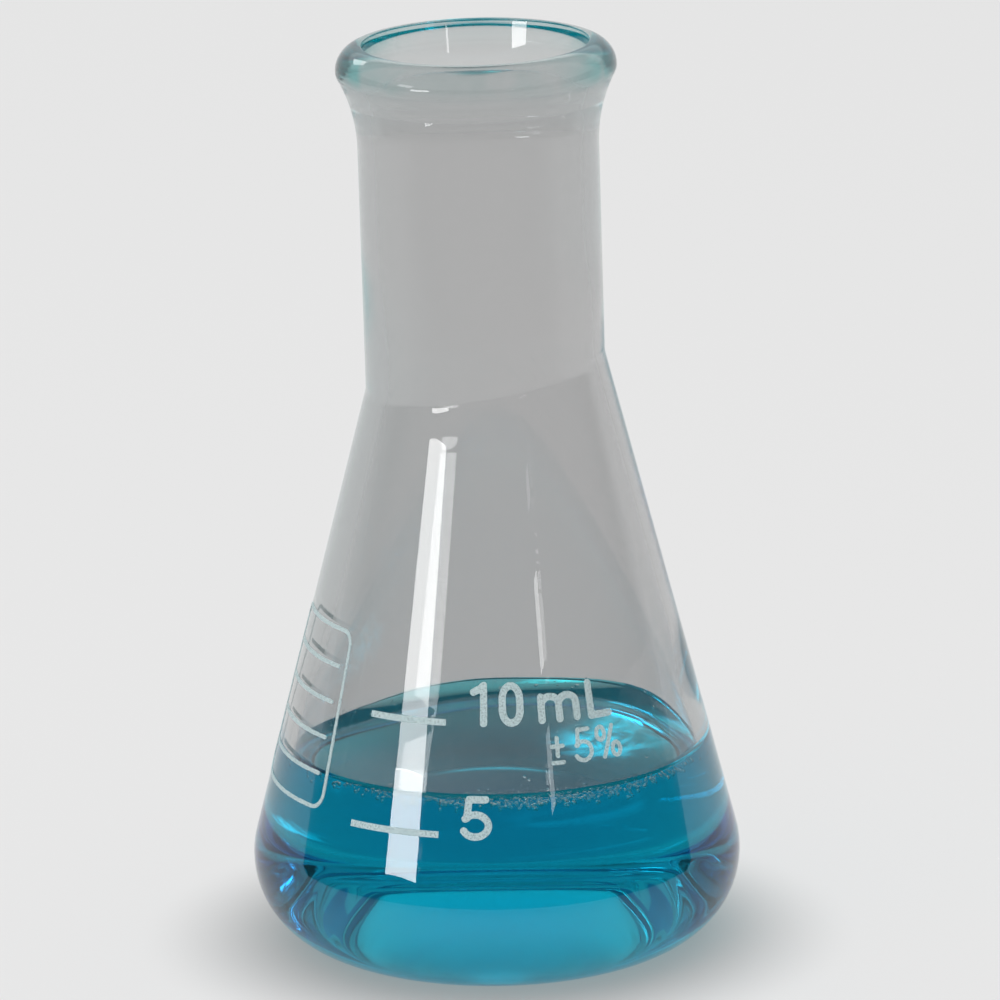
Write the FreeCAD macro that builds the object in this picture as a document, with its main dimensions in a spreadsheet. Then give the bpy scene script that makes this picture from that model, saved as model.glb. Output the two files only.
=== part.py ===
"""Conical (Erlenmeyer) flask of 10 mL, part filled with a blue liquid, as a parametric document.

The flask is one blown piece of borosilicate glass: a thick heel, a conical body, a shoulder
blended into a straight neck, and a flare that ends in a rounded bead. Two graduation lines
are fired onto the cone in enamel. The liquid fills the cavity up to a level with a meniscus.

The origin is the centre of the base ring, +Z is up and -Y is the printed front.
All lengths are in millimetres and all angles in degrees.
"""
import FreeCAD, Part
import math
import os
import Sketcher
from FreeCAD import Vector

# alias, value, meaning
SIZES = [
    ("total_height", 60.0, "base ring to crown of the lip"),
    ("body_radius", 15.96, "largest outer radius, at the heel"),
    ("heel_radius", 5.86, "outer rounding between base and cone"),
    ("shoulder_height", 38.2, "where the lines of cone and neck meet"),
    ("shoulder_blend", 5.0, "outer rounding between cone and neck"),
    ("neck_radius", 7.76, "outer radius of the straight neck"),
    ("neck_bore_radius", 6.65, "inner radius of the straight neck"),
    ("wall_thickness", 1.1, "wall of the cone, square to it"),
    ("inner_shoulder_blend", 6.0, "inner rounding between cone and neck"),
    ("flare_radius", 10.2, "hollow rounding from neck to lip"),
    ("lip_radius", 9.02, "largest radius of the lip bead"),
    ("lip_under_round", 0.85, "rounding under the bead"),
    ("lip_over_round", 1.65, "rounding from the bead's edge to its crown"),
    ("base_thickness", 1.7, "height of the cavity's lowest ring above the base"),
    ("cavity_heel_radius", 5.2, "inner rounding between floor and cone"),
    ("floor_rise", 0.5, "how much the cavity's floor is domed"),
    ("push_up_radius", 8.4, "radius of the hollow under the base"),
    ("push_up_height", 0.6, "depth of the hollow under the base"),
    ("liquid_level", 12.8, "height of the flat part of the liquid's surface"),
    ("meniscus_height", 0.8, "how far the liquid climbs the wall"),
    ("meniscus_radius", 2.0, "rounding of the meniscus"),
    ("enamel_thickness", 0.06, "thickness of the fired print"),
    ("front_angle", -90.0, "azimuth of the printed front, from +X"),
    ("line_width", 0.42, "width of a graduation line, along the cone"),
    ("line_10_height", 18.28, "middle of the 10 mL line"),
    ("line_10_start_angle", -37.4, "azimuth of its left end, from the front"),
    ("line_10_span_angle", 23.4, "angle that it covers"),
    ("line_5_height", 11.34, "middle of the 5 mL line"),
    ("line_5_start_angle", -39.1, "azimuth of its left end, from the front"),
    ("line_5_span_angle", 24.5, "angle that it covers"),
]

# Names of the points on a sketch's edge, each at the index that the sketcher knows it by.
POINTS = ["whole edge", "start", "end", "centre"]

doc = FreeCAD.newDocument("conical_flask")


def make_sheet():
    """Put the driving sizes into a spreadsheet, one aliased cell each."""
    sheet = doc.addObject("Spreadsheet::Sheet", "sizes")
    for row, (alias, value, meaning) in enumerate(SIZES, start=1):
        sheet.set("A%d" % row, meaning)
        sheet.set("B%d" % row, str(value))
        sheet.setAlias("B%d" % row, alias)
    doc.recompute()
    return sheet


sheet = make_sheet()


def size(alias):
    """Value of one cell, for the starting shape of a sketch."""
    return float(sheet.get(alias))


def polar(centre, radius, angle):
    return Vector(centre.x + radius * math.cos(angle), centre.y + radius * math.sin(angle), 0)


class Section:
    """A half section in the XZ plane, whose dimensions are tied to the sheet."""

    def __init__(self, body, name):
        self.sketch = body.newObject("Sketcher::SketchObject", name)
        plane = [o for o in body.Origin.OriginFeatures if o.Role == "XZ_Plane"][0]
        self.sketch.AttachmentSupport = [(plane, "")]
        self.sketch.MapMode = "FlatFace"

    def line(self, start, end, construction=False):
        return self.sketch.addGeometry(Part.LineSegment(start, end), construction)

    def arc(self, centre, radius, start_angle, end_angle, construction=False):
        """Counter-clockwise arc, with its angles in radians."""
        circle = Part.Circle(centre, Vector(0, 0, 1), radius)
        return self.sketch.addGeometry(Part.ArcOfCircle(circle, start_angle, end_angle), construction)

    def constrain(self, terms):
        """Add a constraint, whose terms may name points, and return its index."""
        numbered = [POINTS.index(term) if term in POINTS else term for term in terms]
        return self.sketch.addConstraint(Sketcher.Constraint(*numbered))

    def relate(self, *terms):
        self.constrain(terms)

    def join(self, first, first_end, second, second_end):
        self.relate("Coincident", first, first_end, second, second_end)

    def smooth(self, first, first_end, second, second_end):
        self.relate("Tangent", first, first_end, second, second_end)

    def dimension(self, terms, formula):
        """A dimension that follows the sheet. Terms end with its starting value."""
        self.sketch.setExpression("Constraints[%d]" % self.constrain(terms), formula)

    def across(self, edge, point, start_value, formula):
        self.dimension(("DistanceX", edge, point, start_value), formula)

    def up(self, edge, point, start_value, formula):
        self.dimension(("DistanceY", edge, point, start_value), formula)

    def radius(self, edge, alias):
        self.dimension(("Radius", edge, size(alias)), "sizes." + alias)

    def on_axis(self, edge, point):
        """Hold a point on the sketch's own upright axis, which the sketcher knows as -2."""
        self.relate("PointOnObject", edge, point, -2)


class Cone:
    """Starting shape of the cone's outer line, which touches the heel and aims at the shoulder."""

    def __init__(self):
        heel = size("heel_radius")
        self.heel_centre = Vector(size("body_radius") - heel, heel, 0)
        self.shoulder = Vector(size("neck_radius"), size("shoulder_height"), 0)
        reach = self.shoulder - self.heel_centre
        self.normal_angle = math.atan2(reach.y, reach.x) - math.acos(heel / reach.Length)
        self.foot = polar(self.heel_centre, heel, self.normal_angle)
        self.normal = polar(Vector(0, 0, 0), 1.0, self.normal_angle)
        self.along = (self.shoulder - self.foot).normalize()

    def at_height(self, height, outward=0.0):
        """Point on the line, or on a parallel to it, at a height."""
        start = self.foot + self.normal * outward
        return start + self.along * ((height - start.y) / self.along.y)

    def at_radius(self, radius, outward=0.0):
        start = self.foot + self.normal * outward
        return start + self.along * ((radius - start.x) / self.along.x)


class Shoulder:
    """Starting shape of the rounding between a neck's line and a line parallel to the cone's."""

    def __init__(self, cone, neck, radius, outward):
        self.radius = radius
        corner = cone.at_radius(neck, outward)
        setback = radius * math.tan(cone.normal_angle / 2)
        self.high = corner + Vector(0, setback, 0)
        self.low = corner - cone.along * setback
        self.centre = self.high + Vector(radius, 0, 0)
        self.low_angle = math.pi + cone.normal_angle


def draw_outer_cone(section, cone, construction):
    """Heel arc and the cone's outer line, which aims at the shoulder point. Returns both."""
    heel = section.arc(cone.heel_centre, size("heel_radius"), -math.pi / 2, cone.normal_angle, construction)
    line = section.line(cone.foot, cone.shoulder, construction)
    aim = section.sketch.addGeometry(Part.Point(cone.shoulder), True)
    section.radius(heel, "heel_radius")
    section.across(heel, "centre", cone.heel_centre.x, "sizes.body_radius - sizes.heel_radius")
    section.up(heel, "centre", cone.heel_centre.y, "sizes.heel_radius")
    section.relate("Vertical", heel, "centre", heel, "start")
    section.smooth(heel, "end", line, "start")
    section.across(aim, "start", cone.shoulder.x, "sizes.neck_radius")
    section.up(aim, "start", cone.shoulder.y, "sizes.shoulder_height")
    if construction:
        section.join(line, "end", aim, "start")
    else:
        section.relate("PointOnObject", aim, "start", line)
    return heel, line


def draw_cavity_floor(section, cone, outer_line, top_point):
    """The cavity's side from a point on its cone down to the middle of its floor.

    Returns the cone's inner line, which starts at the top, and the floor's arc, which starts
    in the middle.
    """
    wall, round_in, rise = size("wall_thickness"), size("cavity_heel_radius"), size("floor_rise")
    lowest = size("base_thickness")
    centre = cone.at_height(lowest + round_in, -wall) - Vector(round_in / math.cos(cone.normal_angle), 0, 0)
    reach = (centre.x ** 2 + rise ** 2) / (2 * rise)
    dome_radius = reach - round_in
    dome_centre = Vector(0, lowest + rise - dome_radius, 0)
    dome_tilt = math.atan2(centre.y - dome_centre.y, centre.x)
    side = section.line(top_point, polar(centre, round_in, cone.normal_angle))
    corner = section.arc(centre, round_in, dome_tilt - math.pi, cone.normal_angle)
    floor = section.arc(dome_centre, dome_radius, dome_tilt, math.pi / 2)
    section.relate("Parallel", side, outer_line)
    section.dimension(("Distance", side, "start", outer_line, wall), "sizes.wall_thickness")
    section.smooth(side, "end", corner, "end")
    section.radius(corner, "cavity_heel_radius")
    section.up(corner, "centre", centre.y, "sizes.base_thickness + sizes.cavity_heel_radius")
    section.smooth(corner, "start", floor, "start")
    section.on_axis(floor, "centre")
    section.on_axis(floor, "end")
    section.up(floor, "end", lowest + rise, "sizes.base_thickness + sizes.floor_rise")
    return side, floor


def new_body(name):
    body = doc.addObject("PartDesign::Body", name)
    body.Label = name
    return body


def revolve(body, section, name, angle_formula=None):
    """Turn a section about Z, by a full turn or by an angle from the sheet."""
    solid = body.newObject("PartDesign::Revolution", name)
    solid.Profile = section.sketch
    solid.ReferenceAxis = (section.sketch, ["V_Axis"])
    solid.Angle = math.degrees(2 * math.pi)
    if angle_formula:
        solid.setExpression("Angle", angle_formula)
    section.sketch.Visibility = False
    return solid


def make_flask():
    """The blown glass: its wall's section turned about Z, with both shoulders rounded."""
    body = new_body("flask_glass")
    wall = Section(body, "wall_section")
    cone = Cone()
    heel, cone_out = draw_outer_cone(wall, cone, False)

    # The bead's two outer arcs meet at its widest ring, and the flare touches the lower one.
    lip, neck, bore = size("lip_radius"), size("neck_radius"), size("neck_bore_radius")
    under, over, flare = size("lip_under_round"), size("lip_over_round"), size("flare_radius")
    widest = size("total_height") - over
    under_centre = Vector(lip - under, widest, 0)
    flare_x = neck + flare
    flare_drop = math.sqrt((flare + under) ** 2 - (flare_x - under_centre.x) ** 2)
    flare_centre = Vector(flare_x, widest - flare_drop, 0)
    tilt = math.atan2(flare_drop, under_centre.x - flare_x)
    crown = Vector(lip - over, size("total_height"), 0)
    mouth = crown.x - bore

    shoulder_out = Shoulder(cone, neck, size("shoulder_blend"), 0.0)
    shoulder_arc = wall.arc(shoulder_out.centre, shoulder_out.radius, math.pi, shoulder_out.low_angle)
    neck_out = wall.line(shoulder_out.high, Vector(neck, flare_centre.y, 0))
    flare_arc = wall.arc(flare_centre, flare, tilt, math.pi)
    under_arc = wall.arc(under_centre, under, tilt - math.pi, 0)
    over_arc = wall.arc(Vector(lip - over, widest, 0), over, 0, math.pi / 2)
    mouth_arc = wall.arc(crown - Vector(0, mouth, 0), mouth, math.pi / 2, math.pi)
    shoulder_in = Shoulder(cone, bore, size("inner_shoulder_blend"), -size("wall_thickness"))
    inner_arc = wall.arc(shoulder_in.centre, shoulder_in.radius, math.pi, shoulder_in.low_angle)
    neck_in = wall.line(Vector(bore, crown.y - mouth, 0), shoulder_in.high)
    cone_in, floor = draw_cavity_floor(wall, cone, cone_out, shoulder_in.low)

    wall.smooth(cone_out, "end", shoulder_arc, "end")
    wall.smooth(shoulder_arc, "start", neck_out, "start")
    wall.radius(shoulder_arc, "shoulder_blend")
    wall.relate("Vertical", neck_out)
    wall.across(neck_out, "start", neck, "sizes.neck_radius")
    wall.smooth(neck_out, "end", flare_arc, "end")
    wall.radius(flare_arc, "flare_radius")
    wall.smooth(flare_arc, "start", under_arc, "start")
    wall.radius(under_arc, "lip_under_round")
    wall.across(under_arc, "end", lip, "sizes.lip_radius")
    wall.smooth(under_arc, "end", over_arc, "start")
    wall.radius(over_arc, "lip_over_round")
    wall.relate("Horizontal", over_arc, "centre", over_arc, "start")
    wall.relate("Vertical", over_arc, "centre", over_arc, "end")
    wall.up(over_arc, "end", crown.y, "sizes.total_height")
    wall.smooth(over_arc, "end", mouth_arc, "start")
    wall.smooth(mouth_arc, "end", neck_in, "start")
    wall.relate("Vertical", neck_in)
    wall.across(neck_in, "end", bore, "sizes.neck_bore_radius")
    wall.smooth(neck_in, "end", inner_arc, "start")
    wall.smooth(inner_arc, "end", cone_in, "start")
    wall.radius(inner_arc, "inner_shoulder_blend")

    # The base: a flat ring to stand on, round a shallow domed hollow.
    hollow, depth = size("push_up_radius"), size("push_up_height")
    dome = (hollow ** 2 + depth ** 2) / (2 * depth)
    dome_centre = Vector(0, depth - dome, 0)
    ring_angle = math.atan2(-dome_centre.y, hollow)
    axis_line = wall.line(Vector(0, size("base_thickness") + size("floor_rise"), 0), Vector(0, depth, 0))
    hollow_arc = wall.arc(dome_centre, dome, ring_angle, math.pi / 2)
    ring = wall.line(Vector(hollow, 0, 0), Vector(cone.heel_centre.x, 0, 0))
    wall.join(floor, "end", axis_line, "start")
    wall.join(axis_line, "end", hollow_arc, "end")
    wall.on_axis(hollow_arc, "centre")
    wall.on_axis(axis_line, "end")
    wall.up(axis_line, "end", depth, "sizes.push_up_height")
    wall.join(hollow_arc, "start", ring, "start")
    wall.across(ring, "start", hollow, "sizes.push_up_radius")
    wall.relate("Horizontal", ring)
    wall.join(ring, "end", heel, "start")

    body.Tip = revolve(body, wall, "turned_wall")
    return body


def make_liquid():
    """The liquid: the cavity's own outline up to the level, where it climbs the wall a little."""
    body = new_body("blue_liquid")
    pool = Section(body, "pool_section")
    cone = Cone()
    cone_out = draw_outer_cone(pool, cone, True)[1]
    level, climb, curl = size("liquid_level"), size("meniscus_height"), size("meniscus_radius")
    contact = cone.at_height(level + climb, -size("wall_thickness"))
    side, floor = draw_cavity_floor(pool, cone, cone_out, contact)
    curl_end = math.asin((climb - curl) / curl)
    curl_centre = Vector(contact.x - curl * math.cos(curl_end), level + curl, 0)
    meniscus = pool.arc(curl_centre, curl, -math.pi / 2, curl_end)
    surface = pool.line(Vector(curl_centre.x, level, 0), Vector(0, level, 0))
    axis_line = pool.line(Vector(0, level, 0), Vector(0, size("base_thickness") + size("floor_rise"), 0))
    pool.up(side, "start", contact.y, "sizes.liquid_level + sizes.meniscus_height")
    pool.join(side, "start", meniscus, "end")
    pool.radius(meniscus, "meniscus_radius")
    pool.smooth(meniscus, "start", surface, "start")
    pool.relate("Horizontal", surface)
    pool.up(surface, "end", level, "sizes.liquid_level")
    pool.on_axis(surface, "end")
    pool.join(surface, "end", axis_line, "start")
    pool.join(axis_line, "end", floor, "end")
    body.Tip = revolve(body, pool, "turned_pool")
    return body


def make_graduation_line(name, prefix):
    """A fired enamel line: a thin strip on the cone, turned through part of a turn."""
    body = new_body(name)
    strip = Section(body, prefix + "_section")
    cone = Cone()
    cone_out = draw_outer_cone(strip, cone, True)[1]
    width, film = size("line_width"), size("enamel_thickness")
    middle = cone.at_height(size(prefix + "_height"))
    low, high = middle - cone.along * (width / 2), middle + cone.along * (width / 2)
    out = cone.normal * film
    inner = strip.line(low, high)
    upper = strip.line(high, high + out)
    outer = strip.line(high + out, low + out)
    lower = strip.line(low + out, low)
    edges = [inner, upper, outer, lower]
    for edge, following in zip(edges, edges[1:] + edges[:1]):
        strip.join(edge, "end", following, "start")
    centre = strip.sketch.addGeometry(Part.Point(middle), True)
    strip.relate("PointOnObject", inner, "start", cone_out)
    strip.relate("PointOnObject", inner, "end", cone_out)
    strip.relate("Symmetric", inner, "start", inner, "end", centre, "start")
    strip.up(centre, "start", middle.y, "sizes.%s_height" % prefix)
    strip.dimension(("Distance", inner, width), "sizes.line_width")
    strip.relate("Perpendicular", inner, upper)
    strip.relate("Perpendicular", upper, outer)
    strip.relate("Perpendicular", outer, lower)
    strip.dimension(("Distance", upper, film), "sizes.enamel_thickness")
    body.Tip = revolve(body, strip, prefix + "_strip", "sizes.%s_span_angle" % prefix)
    turn = size("front_angle") + size(prefix + "_start_angle")
    body.Placement.Rotation = FreeCAD.Rotation(Vector(0, 0, 1), turn)
    body.setExpression("Placement.Rotation.Angle", "sizes.front_angle + sizes.%s_start_angle" % prefix)
    return body


def check_document(bodies):
    """Stop unless every object is up to date and every sub-part is one valid solid."""
    for thing in doc.Objects:
        if "Invalid" in thing.State or "Error" in thing.State:
            raise RuntimeError("%s is in state %s" % (thing.Name, thing.State))
    for body in bodies:
        shape = body.Shape
        if shape.isNull() or not shape.isValid() or len(shape.Solids) != 1:
            raise RuntimeError("%s is not one valid solid" % body.Label)


def main():
    bodies = [
        make_flask(),
        make_liquid(),
        make_graduation_line("graduation_line_10_ml", "line_10"),
        make_graduation_line("graduation_line_5_ml", "line_5"),
    ]
    doc.recompute()
    check_document(bodies)
    os.makedirs("parts", exist_ok=True)
    for body in bodies:
        body.Shape.exportStep("parts/%s.step" % body.Label)
        print("%-24s %9.2f mm3" % (body.Label, body.Shape.Volume))


main()
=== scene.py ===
"""Looks of a 10 mL conical flask, part filled with blue liquid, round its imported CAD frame.

Everything is in metres, +Z is up and -Y is the printed front. The glass and the liquid are turned
from smooth profiles, the print is cut in thin enamel, and small bubbles cling to the waterline.
"""
import math
import random

import bmesh
import bpy
from mathutils import Matrix, Vector, noise


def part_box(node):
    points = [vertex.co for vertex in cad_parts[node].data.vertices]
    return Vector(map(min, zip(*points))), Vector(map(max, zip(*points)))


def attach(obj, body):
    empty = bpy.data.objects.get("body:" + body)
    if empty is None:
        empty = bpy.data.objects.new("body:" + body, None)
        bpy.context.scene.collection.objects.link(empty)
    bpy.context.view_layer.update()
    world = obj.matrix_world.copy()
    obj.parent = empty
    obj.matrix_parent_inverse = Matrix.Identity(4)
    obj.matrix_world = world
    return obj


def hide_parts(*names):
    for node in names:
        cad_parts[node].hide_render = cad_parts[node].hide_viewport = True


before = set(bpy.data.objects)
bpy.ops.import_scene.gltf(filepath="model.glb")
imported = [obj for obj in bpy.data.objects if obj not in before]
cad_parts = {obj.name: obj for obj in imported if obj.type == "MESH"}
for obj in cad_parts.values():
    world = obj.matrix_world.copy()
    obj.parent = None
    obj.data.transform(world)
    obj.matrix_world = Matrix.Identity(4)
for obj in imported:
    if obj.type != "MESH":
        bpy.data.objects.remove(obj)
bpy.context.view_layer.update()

MM = 0.001
BODY = "root"

# ---------------------------------------------------------------- sizes, in metres and degrees
GLASS_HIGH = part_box("flask_glass")[1]
HEIGHT = GLASS_HIGH.z
BODY_RADIUS = min(GLASS_HIGH.x, GLASS_HIGH.y)
HEEL_RADIUS = 5.86 * MM
SHOULDER_HEIGHT = 38.2 * MM
SHOULDER_BLEND = 2.5 * MM
NECK_RADIUS = 7.76 * MM
BORE_RADIUS = 6.65 * MM
WALL = 1.1 * MM
INNER_BLEND = 3.5 * MM
FLARE_RADIUS = 10.2 * MM
LIP_RADIUS = 9.02 * MM
LIP_UNDER = 0.85 * MM
LIP_OVER = 1.65 * MM
BASE_THICKNESS = 1.7 * MM
INNER_HEEL = 5.2 * MM
FLOOR_RISE = 0.5 * MM
HOLLOW_RADIUS = 8.4 * MM
HOLLOW_DEPTH = 0.6 * MM
# The liquid's surface, how far its edge climbs the glass, and the radius of that curl
LEVEL = 12.8 * MM
CLIMB = 0.8 * MM
CURL_RADIUS = 2.0 * MM
SEGMENTS = 256
CROWN_STEPS = 20
MOUTH_ROUND = 0.06 * MM
MOUTH_SLOPE = 10.6
CREASE_RADIUS = 0.3 * MM
NECK_END = 53.0 * MM
# The neck goes to the left by LEAN times its height above LEAN_FROM
LEAN = 0.0153
LEAN_FROM = 18.8 * MM
# How far the inner wall is from round
THICKER_SIDE = 0.28 * MM
WAVE_SIZE = 0.015 * MM
BAND_SIZE = 0.0016 * MM
BAND_HEIGHT = 0.55 * MM
LIQUID_GAP = 0.004 * MM
ENAMEL_GAP = 0.006 * MM
ENAMEL_FILM = 0.05 * MM
# The heights where the lip's green begins and is full
GREEN_FROM = 57.5 * MM
GREEN_FULL = 58.6 * MM

# ---------------------------------------------------------------- colours and levels of light
MARK = "meets_another_medium"
OUTSIDE = "faces_the_room"
GLASS_IOR = 1.474
WATER_IOR = 1.333
GLASS_ABSORPTION = (30.0, 6.0, 5.0)
LIQUID_ABSORPTION = (300.0, 28.0, 10.5)
WHITE = (1, 1, 1, 1)
# Painted shade: a grey on the glass's outer faces that darkens what is seen through it
SEE_THROUGH_SHADE = (0.57, 0.540, 0.538, 1)
SEA_GREEN = (0.10, 0.40, 0.39, 1)
ENAMEL_DARK = (0.60, 0.76, 0.78, 1)
ENAMEL_PALE = (0.80, 0.94, 0.95, 1)
# Levels of the world, where 1 is white
BACKDROP = 0.74
SWEEP = 0.5
CEILING = 0.3
DARK_ROOM = 0.05
FLOOR_PAPER = 0.18
FLOOR_GLOW = 0.62
# The floor's painted blue shadow, and its painted blue light from the liquid
BLUE_SHADOW = (0.04, 0.17, 0.19)
BLUE_LIGHT = (0.02, 2.2, 2.4)
BOUNCES = 64

# Ellipses on the floor for its painted shadows and painted light: the centre and the half-sizes in mm, and
# the turn in degrees
UNDER_FLASK = ((0, 0), (24, 24), 0)
LIQUID_SHADOW = ((0, 24), (12.5, 30), 0)
BRIGHT_SPOT = ((7.2, 13.5), (4.4, 4.6), 0)
FAR_SPOT = ((5.5, 28.5), (8, 4), 17)
WIDE_GLOW = ((0, 31), (13.5, 12), 0)
# Values of the noise where a streak begins and is full
STREAKS = (0.36, 0.6)

# Name, azimuth and elevation in degrees, distance, width and height in metres, radiance, and
# turn in degrees
LAMPS = (
    ("left_softbox", -46.7, 10.1, 0.7, 0.194, 0.0513, 11.0, 5.4),
    ("left_softbox_low", -46.7, 7.33, 0.7, 0.194, 0.0164, 15.5, 5.4),
    ("left_high_window", -62, 22, 0.7, 0.16, 0.10, 4.0, 0),
    ("right_strip_high", 29.2, 13.0, 0.7, 0.03, 0.006, 1.5, 0),
    ("right_strip_middle", 29.2, 11.3, 0.7, 0.03, 0.0147, 6.0, 0),
    ("right_strip_low", 29.2, 9.43, 0.7, 0.03, 0.0124, 4.0, 0),
    ("overhead_softbox", -20, 62, 0.8, 0.45, 0.45, 3.8, 0),
    ("back_window", -147, 30, 0.7, 0.16, 0.12, 3.0, 0),
)


# ---------------------------------------------------------------- profiles
def arc(centre, radius, start, end, steps):
    """Points (r, z) along an arc, with its angles in degrees."""
    points = []
    for step in range(steps + 1):
        angle = math.radians(start + (end - start) * step / steps)
        points.append((centre[0] + radius * math.cos(angle), centre[1] + radius * math.sin(angle)))
    return points


def straight(start, end, steps):
    """Points (r, z) from start to end, both included."""
    return [
        (start[0] + (end[0] - start[0]) * k / steps, start[1] + (end[1] - start[1]) * k / steps)
        for k in range(steps + 1)
    ]


def chain(*runs):
    """Join runs of points, and drop each point that repeats the one before."""
    points = []
    for point in (p for run in runs for p in run):
        if not points or math.dist(point, points[-1]) > 1e-7:
            points.append(point)
    return points


HEEL_CENTRE = (BODY_RADIUS - HEEL_RADIUS, HEEL_RADIUS)
# From the heel's centre to the corner where the cone meets the neck
CORNER = (NECK_RADIUS - HEEL_CENTRE[0], SHOULDER_HEIGHT - HEEL_CENTRE[1])
CORNER_ANGLE = math.atan2(CORNER[1], CORNER[0])
# Degrees that the cone's face looks up, as it goes through that corner and touches the heel
CONE_TILT = math.degrees(CORNER_ANGLE - math.acos(HEEL_RADIUS / math.hypot(*CORNER)))
NORMAL = (math.cos(math.radians(CONE_TILT)), math.sin(math.radians(CONE_TILT)))
CONE_FOOT = (HEEL_CENTRE[0] + HEEL_RADIUS * NORMAL[0], HEEL_CENTRE[1] + HEEL_RADIUS * NORMAL[1])


def cone_radius(z, inward=0.0):
    """Radius of the cone's outer face, or of a face parallel to it, at a height."""
    return CONE_FOOT[0] - (z - CONE_FOOT[1]) * math.tan(math.radians(CONE_TILT)) - inward / NORMAL[0]


def shoulder(neck, radius, inward):
    """The rounding between a neck and the cone, from the cone up: an arc of points."""
    tilt = math.radians(CONE_TILT)
    corner_z = CONE_FOOT[1] + (cone_radius(CONE_FOOT[1], inward) - neck) / math.tan(tilt)
    high = corner_z + radius * math.tan(tilt / 2)
    return arc((neck + radius, high), radius, 180 + CONE_TILT, 180, 14)


def outer_profile():
    """The flask's outside, from the middle of the base hollow up to the crown of the lip."""
    dome = (HOLLOW_RADIUS ** 2 + HOLLOW_DEPTH ** 2) / (2 * HOLLOW_DEPTH)
    edge = math.degrees(math.asin(HOLLOW_RADIUS / dome))
    hollow = arc((0, HOLLOW_DEPTH - dome), dome, 90, 90 - edge, 16)
    heel = arc(HEEL_CENTRE, HEEL_RADIUS, -90, CONE_TILT, 44)
    bend = shoulder(NECK_RADIUS, SHOULDER_BLEND, 0.0)
    widest = HEIGHT - LIP_OVER
    under = (LIP_RADIUS - LIP_UNDER, widest)
    flare_x = NECK_RADIUS + FLARE_RADIUS
    drop = math.sqrt((FLARE_RADIUS + LIP_UNDER) ** 2 - (flare_x - under[0]) ** 2)
    meet = math.degrees(math.atan2(drop, under[0] - flare_x))
    flare = arc((flare_x, widest - drop), FLARE_RADIUS, 180, meet, 22)
    return chain(
        hollow,
        straight(hollow[-1], heel[0], 4),
        heel,
        straight(heel[-1], bend[0], 60),
        bend,
        straight(bend[-1], flare[0], 30),
        flare,
        arc(under, LIP_UNDER, meet - 180, 0, 14),
        arc((LIP_RADIUS - LIP_OVER, widest), LIP_OVER, 0, 90, CROWN_STEPS),
    )


def mouth_profile():
    """The inside from the crown of the lip down to the end of the neck's rounding.

    Below the crown the mouth narrows like a funnel, down to a faint crease where the bore starts.
    """
    crown = LIP_RADIUS - LIP_OVER
    turn = arc((crown, HEIGHT - MOUTH_ROUND), MOUTH_ROUND, 90, 180 - MOUTH_SLOPE, 10)
    slope = math.radians(MOUTH_SLOPE)
    start = BORE_RADIUS + CREASE_RADIUS * (1 - math.cos(slope))
    low = turn[-1][1] - (turn[-1][0] - start) / math.tan(slope) - CREASE_RADIUS * math.sin(slope)
    crease = arc((BORE_RADIUS + CREASE_RADIUS, low), CREASE_RADIUS, 180 - MOUTH_SLOPE, 180, 6)
    bend = shoulder(BORE_RADIUS, INNER_BLEND, WALL)[::-1]
    funnel = straight(turn[-1], crease[0], 10)
    return chain(turn, funnel, crease, straight(crease[-1], bend[0], 40), bend)


def pool_profile(inset=0.0):
    """The cavity's side from the waterline down to the middle of its floor."""
    centre_z = BASE_THICKNESS + INNER_HEEL
    centre = (cone_radius(centre_z, WALL) - INNER_HEEL / NORMAL[0], centre_z)
    reach = (centre[0] ** 2 + FLOOR_RISE ** 2) / (2 * FLOOR_RISE)
    dome = reach - INNER_HEEL
    dome_z = BASE_THICKNESS + FLOOR_RISE - dome
    tilt = math.degrees(math.atan2(centre[1] - dome_z, centre[0]))
    heel = arc(centre, INNER_HEEL - inset, CONE_TILT, tilt - 180, 44)
    top = LEVEL + CLIMB
    side = straight((cone_radius(top, WALL + inset), top), heel[0], 20)
    return chain(side, heel, arc((0, dome_z), dome + inset, tilt, 90, 24))


# ---------------------------------------------------------------- meshes
def smooth(low, high, x):
    """0 below low, 1 above high and a smooth rise between them."""
    x = min(1.0, max(0.0, (x - low) / (high - low)))
    return x * x * (3 - 2 * x)


def even_wall(angle, z):
    """A wall that is round at every angle and height."""
    return 0.0


def blown_wall(angle, z):
    """How far the inner wall is from round: thicker to one side, slow waves and fine bands."""
    cone_part = smooth(15 * MM, 21 * MM, z) * (1 - smooth(40 * MM, 47 * MM, z))
    waves = (
        0.45 * math.sin(3 * angle + 1.3 + 60 * z)
        + 0.3 * math.sin(5 * angle + 0.4 - 95 * z)
        + 0.25 * math.sin(8 * angle + 2.1 + 40 * z)
    )
    bands = noise.noise(Vector((0.4 * math.cos(angle), 0.4 * math.sin(angle), z / BAND_HEIGHT)))
    clear_of_lip = 1 - smooth(50 * MM, 55 * MM, z)
    clear_of_liquid = smooth(LEVEL + CLIMB, LEVEL + CLIMB + 1.5 * MM, z)
    thicker = THICKER_SIDE * cone_part * math.cos(angle)
    uneven = WAVE_SIZE * waves + BAND_SIZE * cone_part * bands
    return thicker + clear_of_lip * clear_of_liquid * uneven


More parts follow.
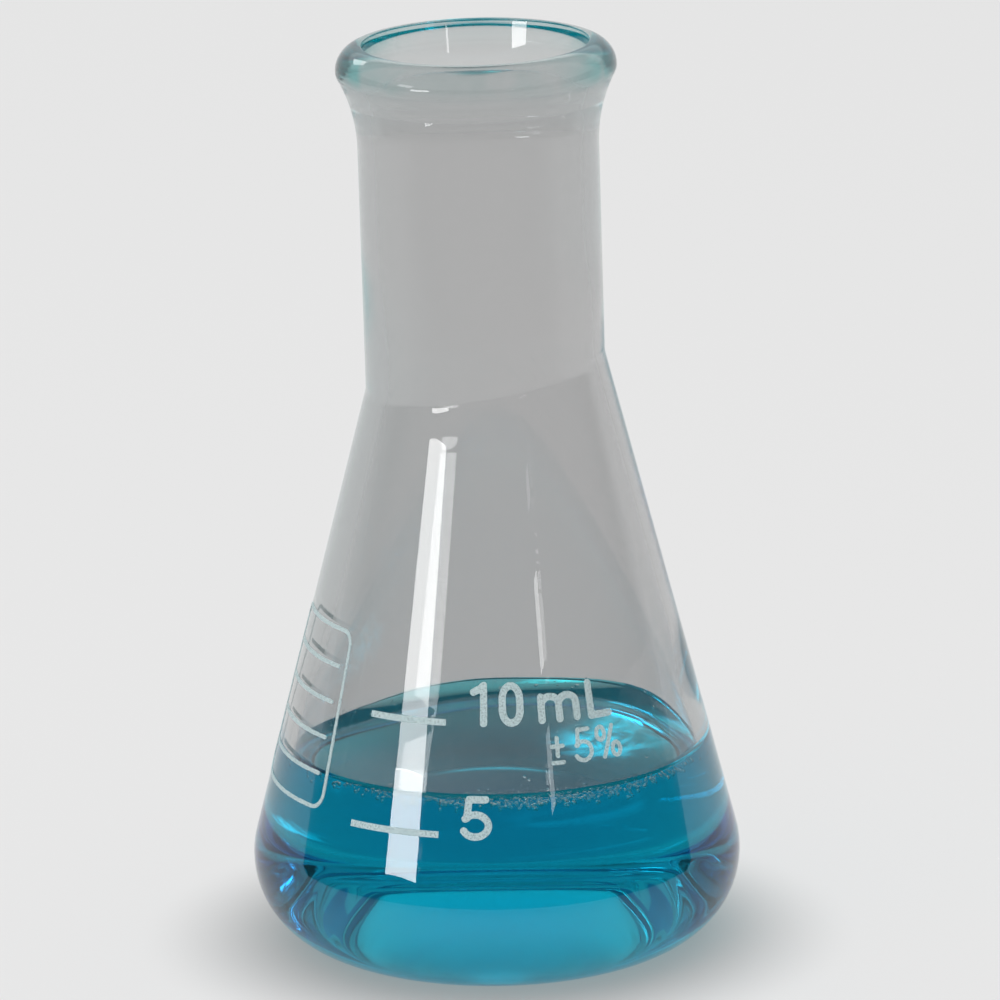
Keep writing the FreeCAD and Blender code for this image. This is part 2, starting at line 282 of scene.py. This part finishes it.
def leaned(radius, z, angle, inward):
    """Where a point of the turned glass goes when the neck leans a little to the left.

    The neck slides down the cone on the side that it leans to, so the shoulder is slanted, and
    the cone's own faces stay where they are. inward is 0 outside and the wall's thickness inside.
    """
    slope = math.tan(math.radians(CONE_TILT))
    neck = BORE_RADIUS if inward else NECK_RADIUS
    foot = cone_radius(CONE_FOOT[1], inward)
    reach = foot - neck + slope * CONE_FOOT[1]
    side = -math.cos(angle)
    even = reach / slope
    corner = (reach + LEAN * side * LEAN_FROM) / (slope + LEAN * side)
    if z <= CONE_FOOT[1]:
        return (radius * math.cos(angle), radius * math.sin(angle), z)
    if z <= even:
        moved = z + (corner - even) * (z - CONE_FOOT[1]) / (even - CONE_FOOT[1])
        radius += slope * (z - moved)
        return (radius * math.cos(angle), radius * math.sin(angle), moved)
    share = min(1.0, max(0.0, (z - even) / (NECK_END - even)))
    moved = z + (corner - even) * (1 - share)
    x, y = radius * math.cos(angle) - LEAN * (moved - LEAN_FROM), radius * math.sin(angle)
    return (x, y, moved + share * LEAN * (radius * math.cos(angle) - LIP_RADIUS))


def lathe(name, profile, ripples=None, inward=None):
    """Turn a profile about Z, and return the object with its faces, one list for each band.

    ripples gives each point's radial unevenness, a function of its angle, and inward says which
    wall each point of the glass is on, so that it can lean.
    """
    mesh = bmesh.new()
    rings = []
    for index, (radius, z) in enumerate(profile):
        if radius < 1e-6:
            rings.append([mesh.verts.new((0, 0, z))])
            continue
        ring = []
        for step in range(SEGMENTS):
            angle = 2 * math.pi * step / SEGMENTS
            r = radius + (ripples[index](angle, z) if ripples else 0.0)
            if inward:
                spot = leaned(r, z, angle, inward[index])
            else:
                spot = (r * math.cos(angle), r * math.sin(angle), z)
            ring.append(mesh.verts.new(spot))
        rings.append(ring)
    bands = []
    for low, high in zip(rings, rings[1:]):
        band = []
        for step in range(SEGMENTS):
            after = (step + 1) % SEGMENTS
            if len(low) == 1:
                corners = (low[0], high[after], high[step])
            elif len(high) == 1:
                corners = (low[step], low[after], high[0])
            else:
                corners = (low[step], low[after], high[after], high[step])
            face = mesh.faces.new(corners)
            face.smooth = True
            band.append(face)
        bands.append(band)
    return finish_mesh(name, mesh), bands


def finish_mesh(name, mesh):
    """Put a bmesh into the scene as an object of its own."""
    data = bpy.data.meshes.new(name)
    mesh.to_mesh(data)
    piece = bpy.data.objects.new(name, data)
    bpy.context.scene.collection.objects.link(piece)
    return piece


# ---------------------------------------------------------------- materials
def ramp(nodes, links, source, low, high, out_low=0.0, out_high=1.0):
    """A smooth step of a number, from out_low at low to out_high at high."""
    step = nodes.new("ShaderNodeMapRange")
    step.interpolation_type = "SMOOTHSTEP"
    step.inputs["From Min"].default_value = low
    step.inputs["From Max"].default_value = high
    step.inputs["To Min"].default_value = out_low
    step.inputs["To Max"].default_value = out_high
    links.new(source, step.inputs["Value"])
    return step.outputs["Result"]


def combine(nodes, links, operation, first, second):
    """Two numbers from other nodes, put together by a Math node's operation."""
    result = nodes.new("ShaderNodeMath")
    result.operation = operation
    links.new(first, result.inputs[0])
    links.new(second, result.inputs[1])
    return result.outputs["Value"]


def product(nodes, links, first, *others):
    """Numbers from other nodes, multiplied."""
    for other in others:
        first = combine(nodes, links, "MULTIPLY", first, other)
    return first


def new_material(name):
    """A material with an empty node tree, with its nodes and links."""
    material = bpy.data.materials.new(name)
    material.use_nodes = True
    material.node_tree.nodes.clear()
    return material, material.node_tree.nodes, material.node_tree.links


def clear_medium(name, ior, absorption, marked_ior=None):
    """A see-through material that bends light and soaks up colour on the way.

    absorption is what it takes from red, green and blue light, per metre. Faces whose
    attribute MARK is 1 bend light by marked_ior, because something other than air lies there.
    Both kinds of face share one material, because a ray has to leave by the one it came in by.
    """
    material, nodes, links = new_material(name)
    output = nodes.new("ShaderNodeOutputMaterial")
    surface = nodes.new("ShaderNodeBsdfPrincipled")
    surface.inputs["Base Color"].default_value = WHITE
    surface.inputs["Roughness"].default_value = 0.0
    surface.inputs["IOR"].default_value = ior
    surface.inputs["Transmission Weight"].default_value = 1.0
    if marked_ior:
        mark = nodes.new("ShaderNodeAttribute")
        mark.attribute_name = MARK
        bending = nodes.new("ShaderNodeMapRange")
        bending.inputs["To Min"].default_value = ior
        bending.inputs["To Max"].default_value = marked_ior
        links.new(mark.outputs["Fac"], bending.inputs["Value"])
        links.new(bending.outputs["Result"], surface.inputs["IOR"])
    clear = nodes.new("ShaderNodeBsdfTransparent")
    path = nodes.new("ShaderNodeLightPath")
    mix = nodes.new("ShaderNodeMixShader")
    links.new(path.outputs["Is Shadow Ray"], mix.inputs["Fac"])
    links.new(surface.outputs["BSDF"], mix.inputs[1])
    links.new(clear.outputs["BSDF"], mix.inputs[2])
    links.new(mix.outputs["Shader"], output.inputs["Surface"])
    density = max(absorption)
    soak = nodes.new("ShaderNodeVolumeAbsorption")
    soak.inputs["Color"].default_value = (*(1 - part / density for part in absorption), 1)
    soak.inputs["Density"].default_value = density
    links.new(soak.outputs["Volume"], output.inputs["Volume"])
    return material


def mark_faces(piece, bands, mark, is_marked):
    """Give each face the attribute mark, 1 where is_marked says so of its band's number."""
    marks = piece.data.attributes.new(mark, "FLOAT", "FACE")
    index = 0
    for number, band in enumerate(bands):
        for _ in band:
            marks.data[index].value = 1.0 if is_marked(number) else 0.0
            index += 1


def tint_glass(material):
    """Painted shade on the outer faces, a faint grey that darkens what is seen through the glass, and the
    sea green of the fire-polished lip.

    The green is cloudy, and its strength is painted shade: strongest at the lip's two sides, and weaker at
    its back, which is painted lighter.
    """
    nodes, links = material.node_tree.nodes, material.node_tree.links
    surface = next(node for node in nodes if node.type == "BSDF_PRINCIPLED")
    outside = nodes.new("ShaderNodeAttribute")
    outside.attribute_name = OUTSIDE
    # Painted shade: a grey on the outer faces that darkens what is seen through the glass
    film = nodes.new("ShaderNodeMix")
    film.data_type = "RGBA"
    film.inputs["A"].default_value = WHITE
    film.inputs["B"].default_value = SEE_THROUGH_SHADE
    links.new(outside.outputs["Fac"], film.inputs["Factor"])
    place = nodes.new("ShaderNodeTexCoord")
    split = nodes.new("ShaderNodeSeparateXYZ")
    links.new(place.outputs["Object"], split.inputs[0])
    clouds = nodes.new("ShaderNodeTexNoise")
    clouds.inputs["Scale"].default_value = 260.0
    clouds.inputs["Detail"].default_value = 5.0
    clouds.inputs["Distortion"].default_value = 1.5
    links.new(place.outputs["Object"], clouds.inputs["Vector"])
    aside = nodes.new("ShaderNodeMath")
    aside.operation = "ABSOLUTE"
    links.new(split.outputs["X"], aside.inputs[0])
    by_height = ramp(nodes, links, split.outputs["Z"], GREEN_FROM, GREEN_FULL)
    by_cloud = ramp(nodes, links, clouds.outputs["Fac"], 0.36, 0.6, 0.4, 1.0)
    # Painted shade: more green at the lip's two sides, and less at its back, which is painted lighter
    painted_side_shade = ramp(nodes, links, aside.outputs["Value"], 4.5 * MM, 8 * MM, 0.2, 1.0)
    painted_back_lightening = ramp(nodes, links, split.outputs["Y"], -1 * MM, 5 * MM, 1.0, 0.4)
    green = nodes.new("ShaderNodeMix")
    green.data_type = "RGBA"
    green.inputs["B"].default_value = SEA_GREEN
    links.new(film.outputs["Result"], green.inputs["A"])
    share = product(nodes, links, by_height, by_cloud, painted_side_shade, painted_back_lightening)
    links.new(share, green.inputs["Factor"])
    links.new(green.outputs["Result"], surface.inputs["Base Color"])


def enamel_material():
    """Thin fired enamel: pale blue-grey, a little see-through, with fine pinholes."""
    material, nodes, links = new_material("white_enamel_print")
    output = nodes.new("ShaderNodeOutputMaterial")
    surface = nodes.new("ShaderNodeBsdfPrincipled")
    surface.inputs["Roughness"].default_value = 0.5
    surface.inputs["IOR"].default_value = 1.5
    place = nodes.new("ShaderNodeTexCoord")
    grain = nodes.new("ShaderNodeTexNoise")
    grain.inputs["Scale"].default_value = 9000.0
    grain.inputs["Detail"].default_value = 4.0
    tones = nodes.new("ShaderNodeValToRGB")
    dark, pale = tones.color_ramp.elements
    dark.position = 0.3
    dark.color = ENAMEL_DARK
    pale.position = 0.65
    pale.color = ENAMEL_PALE
    cover = nodes.new("ShaderNodeMapRange")
    cover.inputs["From Min"].default_value = 0.25
    cover.inputs["From Max"].default_value = 0.5
    cover.inputs["To Min"].default_value = 0.4
    cover.inputs["To Max"].default_value = 0.75
    links.new(place.outputs["Object"], grain.inputs["Vector"])
    links.new(grain.outputs["Fac"], tones.inputs["Fac"])
    links.new(tones.outputs["Color"], surface.inputs["Base Color"])
    links.new(grain.outputs["Fac"], cover.inputs["Value"])
    links.new(cover.outputs["Result"], surface.inputs["Alpha"])
    links.new(surface.outputs["BSDF"], output.inputs["Surface"])
    return material


# ---------------------------------------------------------------- the flask and its liquid
def make_glass():
    """The blown flask, one closed skin from the base hollow over the lip to the cavity's floor."""
    outer = outer_profile()
    mouth = mouth_profile()
    pool = pool_profile()
    waterline = pool[0]
    dry = straight(mouth[-1], waterline, 150)
    inner = chain(mouth, dry)
    profile = chain(outer, inner, pool)
    ripples = [even_wall] * len(outer) + [blown_wall] * (len(inner) - 1)
    ripples += [even_wall] * (len(profile) - len(ripples))
    inward = [0.0] * (len(outer) - CROWN_STEPS)
    inward += [WALL] * (len(profile) - len(inward))
    piece, bands = lathe("flask_glass_blown", profile, ripples, inward)
    glass = clear_medium("clear_borosilicate_glass", GLASS_IOR, GLASS_ABSORPTION, GLASS_IOR / WATER_IOR)
    tint_glass(glass)
    piece.data.materials.append(glass)
    first_wet = len(profile) - len(pool)
    mark_faces(piece, bands, MARK, lambda number: number >= first_wet)
    mark_faces(piece, bands, OUTSIDE, lambda number: number < len(outer))
    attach(piece, BODY)
    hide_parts("flask_glass")


def make_liquid():
    """The pool of liquid, with its edge curled up against the glass."""
    side = pool_profile(LIQUID_GAP)
    contact = side[0]
    start = math.degrees(math.asin((CLIMB - CURL_RADIUS) / CURL_RADIUS))
    centre = (contact[0] - CURL_RADIUS * math.cos(math.radians(start)), LEVEL + CURL_RADIUS)
    curl = arc(centre, CURL_RADIUS, -90, start, 12)
    surface = straight((0, LEVEL), curl[0], 12)
    top = chain(surface, curl)
    profile = chain(top, side)
    piece, bands = lathe("blue_liquid_pool", profile[::-1])
    piece.data.materials.append(clear_medium("blue_liquid", WATER_IOR, LIQUID_ABSORPTION, 1.0))
    mark_faces(piece, bands, MARK, lambda number: number < len(side) - 1)
    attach(piece, BODY)
    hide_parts("blue_liquid")


# ---------------------------------------------------------------- enamel print
def bend(centre, radii, start, end, steps=14):
    """A stroke along part of an ellipse, with its angles in degrees."""
    stroke = []
    for step in range(steps + 1):
        angle = math.radians(start + (end - start) * step / steps)
        stroke.append((centre[0] + radii[0] * math.cos(angle), centre[1] + radii[1] * math.sin(angle)))
    return stroke


def glyph(letter, w, h, t):
    """The strokes' middle lines for one sign, in a box w wide and h high, for strokes t thick."""
    e = t / 2
    if letter == "1":
        return [[(w - e, e), (w - e, h - e), (w - 2.1 * e, 0.84 * h), (e, 0.77 * h)]]
    if letter == "0":
        top = bend((w / 2, h * 0.62), (w / 2 - e, h * 0.38 - e), 0, 180)
        low = bend((w / 2, h * 0.38), (w / 2 - e, h * 0.38 - e), 180, 360)
        return [top + low + top[:1]]
    if letter == "5":
        bowl = bend((0.47 * w, 0.33 * h), (0.53 * w - e, 0.33 * h - e), 142, -152, 22)
        return [[(0.92 * w - e, h - e), (0.26 * w, h - e), (0.14 * w + e / 2, 0.50 * h)] + bowl]
    if letter == "m":
        strokes = [[(e, e), (e, h - e)]]
        half = (w - t) / 2
        for k in (0, 1):
            arch = bend((e + half * (k + 0.5), h * 0.62), (half / 2, h * 0.38 - e), 180, 0)
            strokes.append(arch + [(e + half * (k + 1), e)])
        return strokes
    if letter == "L":
        return [[(e, h - e), (e, e), (w - e, e)]]
    if letter == "+":
        return [
            [(w / 2, h - e), (w / 2, 0.30 * h)],
            [(e, 0.64 * h), (w - e, 0.64 * h)],
            [(e, e), (w - e, e)],
        ]
    if letter == "%":
        ring = (w * 0.20 - e / 2, h * 0.22 - e / 2)
        high = bend((w * 0.21, h * 0.76), ring, 0, 360)
        low = bend((w * 0.79, h * 0.24), ring, 0, 360)
        return [high, low, [(0.28 * w, e), (0.72 * w, h - e)]]
    raise ValueError(letter)


def shift(strokes, x, y):
    """The same strokes, moved."""
    return [[(px + x, py + y) for px, py in stroke] for stroke in strokes]


def distance_to(strokes, x, y):
    """How far a point is from the nearest stroke's middle line."""
    best = 1.0e9
    for stroke in strokes:
        for (ax, ay), (bx, by) in zip(stroke, stroke[1:]):
            if min(ax, bx) - x > best or x - max(ax, bx) > best:
                continue
            dx, dy = bx - ax, by - ay
            squared = dx * dx + dy * dy
            along = ((x - ax) * dx + (y - ay) * dy) / squared if squared else 0.0
            along = max(0.0, min(1.0, along))
            best = min(best, math.hypot(x - ax - along * dx, y - ay - along * dy))
    return best


def print_on_cone(name, strokes, thick, azimuth, z, seed, cell=0.055, worn=0.018):
    """Cut strokes as a thin enamel film on the cone.

    strokes are in mm, x along the wall to the right and y up the slope, from the point at azimuth
    (degrees from the front) and height z (mm). The film's edge wanders by about worn mm, and a
    few pinholes go through it. cell is the grid that the edge is found on, in mm.
    """
    dice = random.Random(seed)
    xs = [p[0] for stroke in strokes for p in stroke]
    ys = [p[1] for stroke in strokes for p in stroke]
    low_x, low_y = min(xs) - thick, min(ys) - thick
    columns = int((max(xs) + thick - low_x) / cell) + 2
    rows = int((max(ys) + thick - low_y) / cell) + 2
    drift = Vector((dice.uniform(0, 50), dice.uniform(0, 50), dice.uniform(0, 50)))
    field = {}
    for i in range(columns):
        for j in range(rows):
            x, y = low_x + i * cell, low_y + j * cell
            edge = distance_to(strokes, x, y) - thick / 2
            if abs(edge) < 3 * cell:
                edge += worn * noise.noise(Vector((x * 6, y * 6, 0)) + drift)
                edge += 0.6 * worn * noise.noise(Vector((x * 16, y * 16, 3)) + drift)
            field[i, j] = edge
    pinholes = int(len(field) * 0.002)
    for _ in range(pinholes):
        i, j = dice.randrange(columns), dice.randrange(rows)
        if field[i, j] < -0.5 * cell:
            field[i, j] = 0.35 * cell
    mesh = bmesh.new()
    made = {}

    def place(x, y):
        height = z * MM + y * MM * NORMAL[0]
        radius = cone_radius(height) + ENAMEL_GAP
        angle = math.radians(azimuth) + x * MM / cone_radius(z * MM)
        return (radius * math.sin(angle), -radius * math.cos(angle), height)

    def corner(i, j):
        if (i, j) not in made:
            made[i, j] = mesh.verts.new(place(low_x + i * cell, low_y + j * cell))
        return made[i, j]

    def crossing(a, b):
        key = (a, b) if a < b else (b, a)
        if key not in made:
            (i, j), (k, m) = key
            share = field[i, j] / (field[i, j] - field[k, m])
            share = min(0.95, max(0.05, share))
            made[key] = mesh.verts.new(
                place(low_x + (i + (k - i) * share) * cell, low_y + (j + (m - j) * share) * cell)
            )
        return made[key]

    for i in range(columns - 1):
        for j in range(rows - 1):
            loop = ((i, j), (i + 1, j), (i + 1, j + 1), (i, j + 1))
            if min(field[c] for c in loop) >= 0:
                continue
            outline = []
            for here, after in zip(loop, loop[1:] + loop[:1]):
                if field[here] < 0:
                    outline.append(corner(*here))
                if (field[here] < 0) != (field[after] < 0):
                    outline.append(crossing(here, after))
            if len(outline) > 2:
                mesh.faces.new(outline)
    base = list(mesh.faces)
    grown = bmesh.ops.extrude_face_region(mesh, geom=base)
    for vert in (item for item in grown["geom"] if isinstance(item, bmesh.types.BMVert)):
        out = Vector((vert.co.x, vert.co.y, 0)).normalized()
        vert.co += ENAMEL_FILM * (out * NORMAL[0] + Vector((0, 0, NORMAL[1])))
    bmesh.ops.recalc_face_normals(mesh, faces=mesh.faces)
    piece = finish_mesh(name, mesh)
    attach(piece, BODY)
    return piece


def make_print(enamel):
    """The figures beside the two graduation lines, and the ruled panel for the user's own notes.

    Each piece has its strokes and their thickness in mm, its place on the cone, and its seed.
    """
    pieces = []
    bold, light = 0.47, 0.27
    ten = glyph("1", 1.15, 2.9, bold) + shift(glyph("0", 1.62, 2.85, bold), 1.90, 0)
    ten += shift(glyph("m", 2.85, 1.95, bold), 4.45, 0.05)
    ten += shift(glyph("L", 1.65, 2.45, 0.36), 7.9, 0.05)
    pieces.append(print_on_cone("figure_10_ml", ten, bold, -7.3, 18.05, 3))
    tolerance = glyph("+", 1.0, 1.85, light) + shift(glyph("5", 1.35, 2.25, light), 1.65, -0.05)
    tolerance += shift(glyph("%", 1.85, 2.2, light), 3.25, -0.05)
    pieces.append(print_on_cone("figure_tolerance", tolerance, light, 15.0, 15.5, 4, worn=0.03))
    five = glyph("5", 2.05, 2.85, bold)
    pieces.append(print_on_cone("figure_5_ml", five, bold, -9.1, 11.05, 5))
    wide, high, corner = 10.4, 11.6, 1.0
    right, top = wide - corner, high - corner
    border = []
    for x, y, start in ((right, top, 0), (corner, top, 90), (corner, corner, 180), (right, corner, 270)):
        border += bend((x, y), (corner, corner), start, start + 90, 8)
    panel = [border + border[:1]]
    for k in range(1, 5):
        panel.append([(0.9, high - 2.35 * k), (wide - 0.9, high - 2.35 * k)])
    pieces.append(print_on_cone("note_panel", panel, 0.26, -91.0, 11.6, 6, cell=0.085, worn=0.03))
    for piece in pieces:
        piece.data.materials.append(enamel)


# ---------------------------------------------------------------- bubbles
def make_bubbles():
    """Small air bubbles just under the surface, and droplets on the glass just above it."""
    dice = random.Random(17)
    ball = bmesh.new()
    bmesh.ops.create_icosphere(ball, subdivisions=2, radius=1.0)
    ball_points = [vert.co.copy() for vert in ball.verts]
    ball_faces = [[vert.index for vert in face.verts] for face in ball.faces]
    ball.free()
    air = clear_medium("air_bubble", 1 / WATER_IOR, (0.002, 0.001, 0.001))
    wet = clear_medium("clinging_droplet", WATER_IOR, (40.0, 8.0, 2.0))
    kinds = (("bubbles", 1300, air, True), ("droplets", 110, wet, False))
    for name, count, material, under in kinds:
        verts, faces = [], []
        for _ in range(count):
            # Most are in front, a little to the right
            azimuth = math.radians(dice.gauss(12, 36) if dice.random() < 0.85 else dice.uniform(-180, 180))
            size = (0.035 + 0.11 * dice.random() ** 4) * MM
            if under:
                gap = dice.random() ** 2 * 0.35 * MM + 0.01 * MM
                top = LEVEL + CLIMB - 1.4 * (gap + 2 * size) - size
                z = top - dice.random() ** 2 * 0.4 * MM
                r = cone_radius(z, WALL) - LIQUID_GAP - size - gap
            else:
                size *= 0.8
                z = LEVEL + CLIMB + size + dice.random() ** 3 * 1.1 * MM
                r = cone_radius(z, WALL) - size - 0.02 * MM
            spot = Vector((r * math.sin(azimuth), -r * math.cos(azimuth), z))
            faces += [[corner + len(verts) for corner in face] for face in ball_faces]
            verts += [spot + size * point for point in ball_points]
        mesh = bmesh.new()
        for point in verts:
            mesh.verts.new(point)
        mesh.verts.ensure_lookup_table()
        for face in faces:
            mesh.faces.new([mesh.verts[corner] for corner in face]).smooth = True
        piece = finish_mesh(name, mesh)
        piece.data.materials.append(material)
        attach(piece, BODY)


# ---------------------------------------------------------------- studio
def seen_rays(nodes, links):
    """1 for the rays that show the backdrop: the camera's own, reflected ones and bent ones."""
    path = nodes.new("ShaderNodeLightPath")
    mirrored, bent = path.outputs["Is Glossy Ray"], path.outputs["Is Transmission Ray"]
    bounced = combine(nodes, links, "MAXIMUM", mirrored, bent)
    return combine(nodes, links, "MAXIMUM", path.outputs["Is Camera Ray"], bounced)


def scaled(nodes, links, colour, factor):
    """A constant colour times a number from another node."""
    scale = nodes.new("ShaderNodeVectorMath")
    scale.operation = "SCALE"
    scale.inputs[0].default_value = colour
    links.new(factor, scale.inputs["Scale"])
    return scale.outputs["Vector"]


def patch(nodes, links, place, centre, size, turn):
    """Distance from an ellipse's centre in units of its half-sizes, and the place inside it."""
    inside = nodes.new("ShaderNodeMapping")
    inside.vector_type = "TEXTURE"
    inside.inputs["Location"].default_value = (centre[0] * MM, centre[1] * MM, 0)
    inside.inputs["Rotation"].default_value = (0, 0, math.radians(turn))
    inside.inputs["Scale"].default_value = (size[0] * MM, size[1] * MM, 1)
    links.new(place, inside.inputs["Vector"])
    spread = nodes.new("ShaderNodeVectorMath")
    spread.operation = "LENGTH"
    links.new(inside.outputs["Vector"], spread.inputs[0])
    return spread.outputs["Value"], inside.outputs["Vector"]


def make_floor():
    """A pale floor, with the blue light that the liquid throws on it behind the flask.

    That light is painted in the floor's own emission, and so is its shade: a painted shadow under
    the flask, and painted shade that dims it a little from 20 to 90 mm in front of the flask's axis.
    """
    mesh = bmesh.new()
    bmesh.ops.create_grid(mesh, x_segments=1, y_segments=1, size=3.0)
    for vert in mesh.verts:
        vert.co.z = -0.02 * MM
    floor = finish_mesh("studio_floor", mesh)
    material, nodes, links = new_material("pale_studio_floor")
    output = nodes.new("ShaderNodeOutputMaterial")
    paper = nodes.new("ShaderNodeBsdfDiffuse")
    paper.inputs["Color"].default_value = (FLOOR_PAPER, FLOOR_PAPER, FLOOR_PAPER, 1)
    place = nodes.new("ShaderNodeTexCoord").outputs["Object"]
    under, _ = patch(nodes, links, place, *UNDER_FLASK)
    shadow, _ = patch(nodes, links, place, *LIQUID_SHADOW)
    bright, inside = patch(nodes, links, place, *BRIGHT_SPOT)
    far, _ = patch(nodes, links, place, *FAR_SPOT)
    wide, _ = patch(nodes, links, place, *WIDE_GLOW)
    depth = nodes.new("ShaderNodeSeparateXYZ")
    links.new(place, depth.inputs[0])

    # Painted light that comes through the liquid: two streaky spots in a wide faint glow
    streaks = nodes.new("ShaderNodeTexNoise")
    streaks.inputs["Scale"].default_value = 1.8
    streaks.inputs["Distortion"].default_value = 1.2
    links.new(inside, streaks.inputs["Vector"])
    near_spot = product(
        nodes, links,
        ramp(nodes, links, bright, 1.2, 0.1),
        ramp(nodes, links, streaks.outputs["Fac"], *STREAKS, 0.12, 1.0),
        ramp(nodes, links, bright, 1.2, 0.4),
    )
    far_spot = product(
        nodes, links,
        ramp(nodes, links, far, 1.0, 0.0),
        ramp(nodes, links, far, 1.0, 0.5),
        ramp(nodes, links, streaks.outputs["Fac"], *STREAKS, 0.4, 1.0),
    )
    spots = combine(nodes, links, "MAXIMUM", near_spot, far_spot)
    faint = ramp(nodes, links, wide, 1.0, 0.4, 0.0, 0.12)
    light = combine(nodes, links, "MAXIMUM", spots, faint)

    # Painted shadow and shade in the floor's emission: blue in the liquid's shadow, darker under the flask
    # and in front
    glow_and_painted_shadow = nodes.new("ShaderNodeMix")
    glow_and_painted_shadow.data_type = "VECTOR"
    glow_and_painted_shadow.inputs["A"].default_value = (FLOOR_GLOW, FLOOR_GLOW, FLOOR_GLOW)
    glow_and_painted_shadow.inputs["B"].default_value = BLUE_SHADOW
    links.new(ramp(nodes, links, shadow, 1.0, 0.3), glow_and_painted_shadow.inputs["Factor"])
    # Painted shadow under the flask, and painted shade in front of it
    below = ramp(nodes, links, under, 0.5, 1.0, 0.4, 1.0)
    painted_shade_in_front = ramp(nodes, links, depth.outputs["Y"], -90 * MM, -20 * MM, 0.6, 1.0)
    shaded = nodes.new("ShaderNodeVectorMath")
    shaded.operation = "SCALE"
    links.new(glow_and_painted_shadow.outputs["Result"], shaded.inputs[0])
    links.new(product(nodes, links, below, painted_shade_in_front), shaded.inputs["Scale"])

    total = nodes.new("ShaderNodeVectorMath")
    total.operation = "ADD"
    links.new(shaded.outputs["Vector"], total.inputs[0])
    links.new(scaled(nodes, links, BLUE_LIGHT, light), total.inputs[1])
    emission = nodes.new("ShaderNodeEmission")
    links.new(total.outputs["Vector"], emission.inputs["Color"])
    links.new(seen_rays(nodes, links), emission.inputs["Strength"])
    both = nodes.new("ShaderNodeAddShader")
    links.new(paper.outputs["BSDF"], both.inputs[0])
    links.new(emission.outputs["Emission"], both.inputs[1])
    links.new(both.outputs["Shader"], output.inputs["Surface"])
    floor.data.materials.append(material)


def make_world():
    """The camera sees one pale grey all round.

    Other rays also see a bright sweep high at the back, a dimmer ceiling above it, and a dark
    room low down at the front and the sides.
    """
    world = bpy.data.worlds.new("pale_studio")
    bpy.context.scene.world = world
    world.use_nodes = True
    nodes, links = world.node_tree.nodes, world.node_tree.links
    nodes.clear()
    output = nodes.new("ShaderNodeOutputWorld")
    path = nodes.new("ShaderNodeLightPath")
    plain = nodes.new("ShaderNodeBackground")
    plain.inputs["Color"].default_value = WHITE
    plain.inputs["Strength"].default_value = BACKDROP
    room = nodes.new("ShaderNodeBackground")
    room.inputs["Color"].default_value = WHITE
    place = nodes.new("ShaderNodeTexCoord")
    split = nodes.new("ShaderNodeSeparateXYZ")
    links.new(place.outputs["Generated"], split.inputs[0])
    # How far a direction goes up and to the back, each from -1 to 1
    up, back = split.outputs["Z"], split.outputs["Y"]
    sweep = product(
        nodes, links,
        ramp(nodes, links, up, 0.27, 0.33, 0.0, SWEEP),
        ramp(nodes, links, up, 0.56, 0.47),
        ramp(nodes, links, back, 0.5, 0.72),
    )
    dark = product(
        nodes, links,
        ramp(nodes, links, back, 0.5, 0.2),
        ramp(nodes, links, up, 0.34, 0.22, 0.0, BACKDROP - DARK_ROOM),
    )
    ceiling = product(
        nodes, links,
        ramp(nodes, links, up, 0.48, 0.6, 0.0, BACKDROP - CEILING),
        ramp(nodes, links, back, 0.4, 0.65),
    )
    loss = combine(nodes, links, "MAXIMUM", dark, ceiling)
    lift = nodes.new("ShaderNodeMath")
    lift.inputs[1].default_value = BACKDROP
    links.new(combine(nodes, links, "SUBTRACT", sweep, loss), lift.inputs[0])
    links.new(lift.outputs["Value"], room.inputs["Strength"])
    mix = nodes.new("ShaderNodeMixShader")
    links.new(path.outputs["Is Camera Ray"], mix.inputs["Fac"])
    links.new(room.outputs["Background"], mix.inputs[1])
    links.new(plain.outputs["Background"], mix.inputs[2])
    links.new(mix.outputs["Shader"], output.inputs["Surface"])


def softbox(name, azimuth, elevation, distance, width, height, radiance, turn):
    """A rectangular lamp that faces the flask. Azimuth is from the front, + to the right."""
    lamp = bpy.data.lights.new(name, "AREA")
    lamp.shape = "RECTANGLE"
    lamp.size = width
    lamp.size_y = height
    lamp.energy = radiance * math.pi * width * height
    holder = bpy.data.objects.new(name, lamp)
    bpy.context.scene.collection.objects.link(holder)
    target = Vector((0, 0, HEIGHT / 2))
    a, e = math.radians(azimuth), math.radians(elevation)
    outwards = Vector((math.sin(a) * math.cos(e), -math.cos(a) * math.cos(e), math.sin(e)))
    holder.location = target + distance * outwards
    facing = (target - holder.location).to_track_quat("-Z", "Y").to_matrix()
    holder.rotation_euler = (facing @ Matrix.Rotation(math.radians(turn), 3, "Z")).to_euler()
    return holder


def make_camera():
    """The camera, with the photograph's view: a little above the flask, and rolled a little."""
    distance, height, aim, roll = 0.480, 0.1606, 0.030, -0.015
    camera = bpy.data.cameras.new("photo_camera")
    camera.lens = 276.06
    camera.sensor_width = 36.0
    camera.shift_x = 0.0083
    camera.shift_y = -0.0075
    holder = bpy.data.objects.new("photo_camera", camera)
    bpy.context.scene.collection.objects.link(holder)
    holder.location = (0, -distance, height)
    tilt = math.atan2(height - aim, distance)
    holder.rotation_mode = "XYZ"
    look = Matrix.Rotation(math.pi / 2 - tilt, 4, "X") @ Matrix.Rotation(roll, 4, "Z")
    holder.matrix_world = Matrix.Translation(holder.location) @ look
    camera.clip_start = 0.01
    bpy.context.scene.camera = holder


make_world()
make_floor()
make_camera()
lamps = {row[0]: softbox(*row) for row in LAMPS}
lamps["overhead_softbox"].visible_glossy = False
lamps["overhead_softbox"].visible_transmission = False
make_glass()
make_liquid()
make_bubbles()
enamel = enamel_material()
make_print(enamel)
for node in ("graduation_line_10_ml", "graduation_line_5_ml"):
    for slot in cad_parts[node].material_slots:
        slot.material = enamel

scene = bpy.context.scene
scene.view_settings.view_transform = "Standard"
scene.cycles.max_bounces = BOUNCES
scene.cycles.transmission_bounces = BOUNCES
scene.cycles.glossy_bounces = BOUNCES
scene.cycles.transparent_max_bounces = 32
